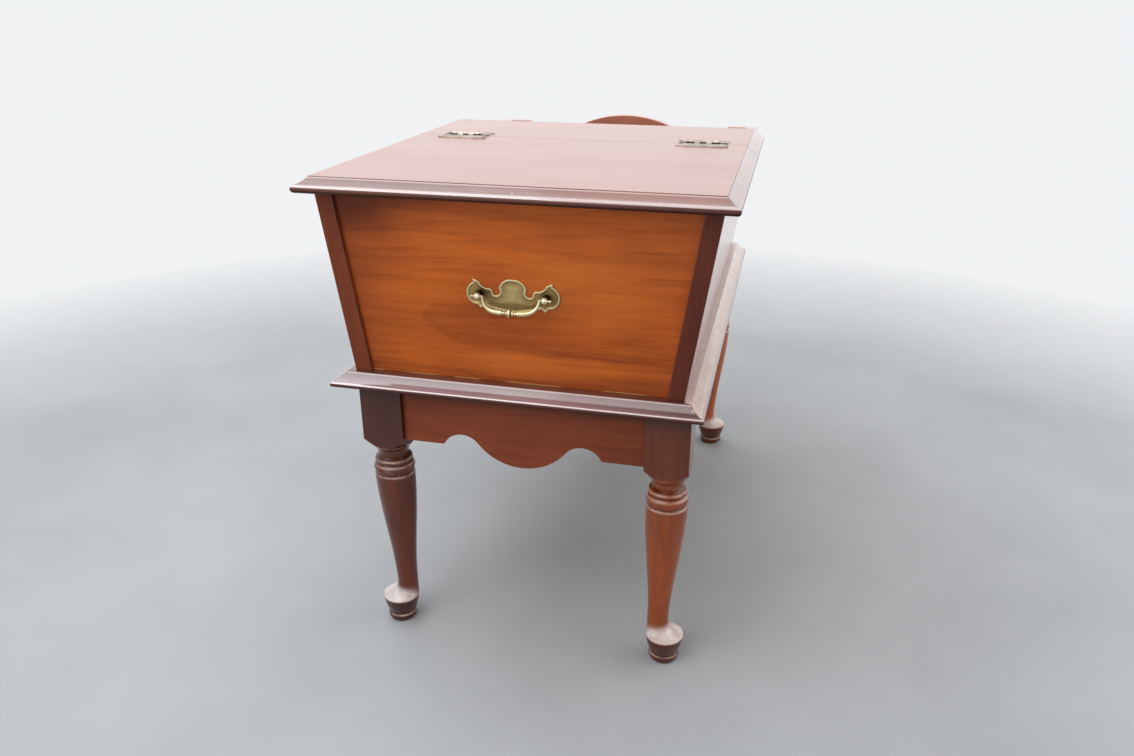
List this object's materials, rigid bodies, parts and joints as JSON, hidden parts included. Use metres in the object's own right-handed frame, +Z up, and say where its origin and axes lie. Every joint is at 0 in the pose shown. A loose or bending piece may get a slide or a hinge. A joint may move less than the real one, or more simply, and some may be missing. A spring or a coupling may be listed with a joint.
{
  "type": "lift top end table",
  "caption": "Colonial style end table: flared storage box with a hinged lift lid, open magazine rack behind it, scalloped aprons and turned legs with offset pad feet.",
  "frame": {"origin": "centre of the table's footprint, on the floor", "axes": "+Z up, the front with the pull faces -Y, the magazine rack is at +Y, +X is to the right seen from the front"},
  "size_m": [0.48, 0.721, 0.6112],
  "materials": {
    "leg_cherry": "satin stained cherry",
    "dark_cherry": "satin stained cherry, darker on edges",
    "case_cherry": "semi-gloss lacquered cherry",
    "top_cherry": "semi-gloss lacquered cherry",
    "inner_wood": "plain unstained softwood",
    "dowel_beech": "plain beech",
    "aged_brass": "antiqued brass, darker in the recesses",
    "screw_steel": "zinc plated"
  },
  "bodies": {
    "table": {"leg_front_left": "leg_cherry", "leg_front_right": "leg_cherry", "leg_rear_left": "leg_cherry", "leg_rear_right": "leg_cherry", "apron_front": "dark_cherry", "apron_rear": "dark_cherry", "apron_left": "dark_cherry", "apron_right": "dark_cherry", "waist_moulding_front": "dark_cherry", "waist_moulding_left": "dark_cherry", "waist_moulding_right": "dark_cherry", "top_moulding_left": "dark_cherry", "top_moulding_right": "dark_cherry", "side_board_left": "case_cherry", "side_board_right": "case_cherry", "front_panel": "case_cherry", "back_board": "case_cherry", "top_strip": "top_cherry", "deck_board": "inner_wood", "partition": "inner_wood", "corner_blocks": "inner_wood", "bottom_cleats": "inner_wood", "top_cleats": "inner_wood", "apron_dowels": "dowel_beech", "deck_screws": "screw_steel", "cleat_screws": "screw_steel", "hinge_left_top_leaf": "aged_brass", "hinge_left_pin": "aged_brass", "hinge_right_top_leaf": "aged_brass", "hinge_right_pin": "aged_brass", "top_hinge_screws": "aged_brass", "pull_plate": "aged_brass", "pull_post_left": "aged_brass", "pull_post_right": "aged_brass", "pull_nuts": "aged_brass"},
    "lid": {"lid_board": "top_cherry", "lid_moulding_front": "dark_cherry", "lid_moulding_left": "dark_cherry", "lid_moulding_right": "dark_cherry", "hinge_left_lid_leaf": "aged_brass", "hinge_right_lid_leaf": "aged_brass", "lid_hinge_screws": "aged_brass"},
    "bail": {"pull_bail": "aged_brass"}
  },
  "joints": [
    {"name": "lid_hinge", "type": "hinge", "parent": "table", "child": "lid", "pos_m": [0, -0.0245, 0.6089], "axis": [-1, 0, 0], "range_deg": [0, 180]},
    {"name": "bail_swing", "type": "hinge", "parent": "table", "child": "bail", "pos_m": [0, -0.3421, 0.4831], "axis": [-1, 0, 0], "range_deg": [0, 150]}
  ]
}
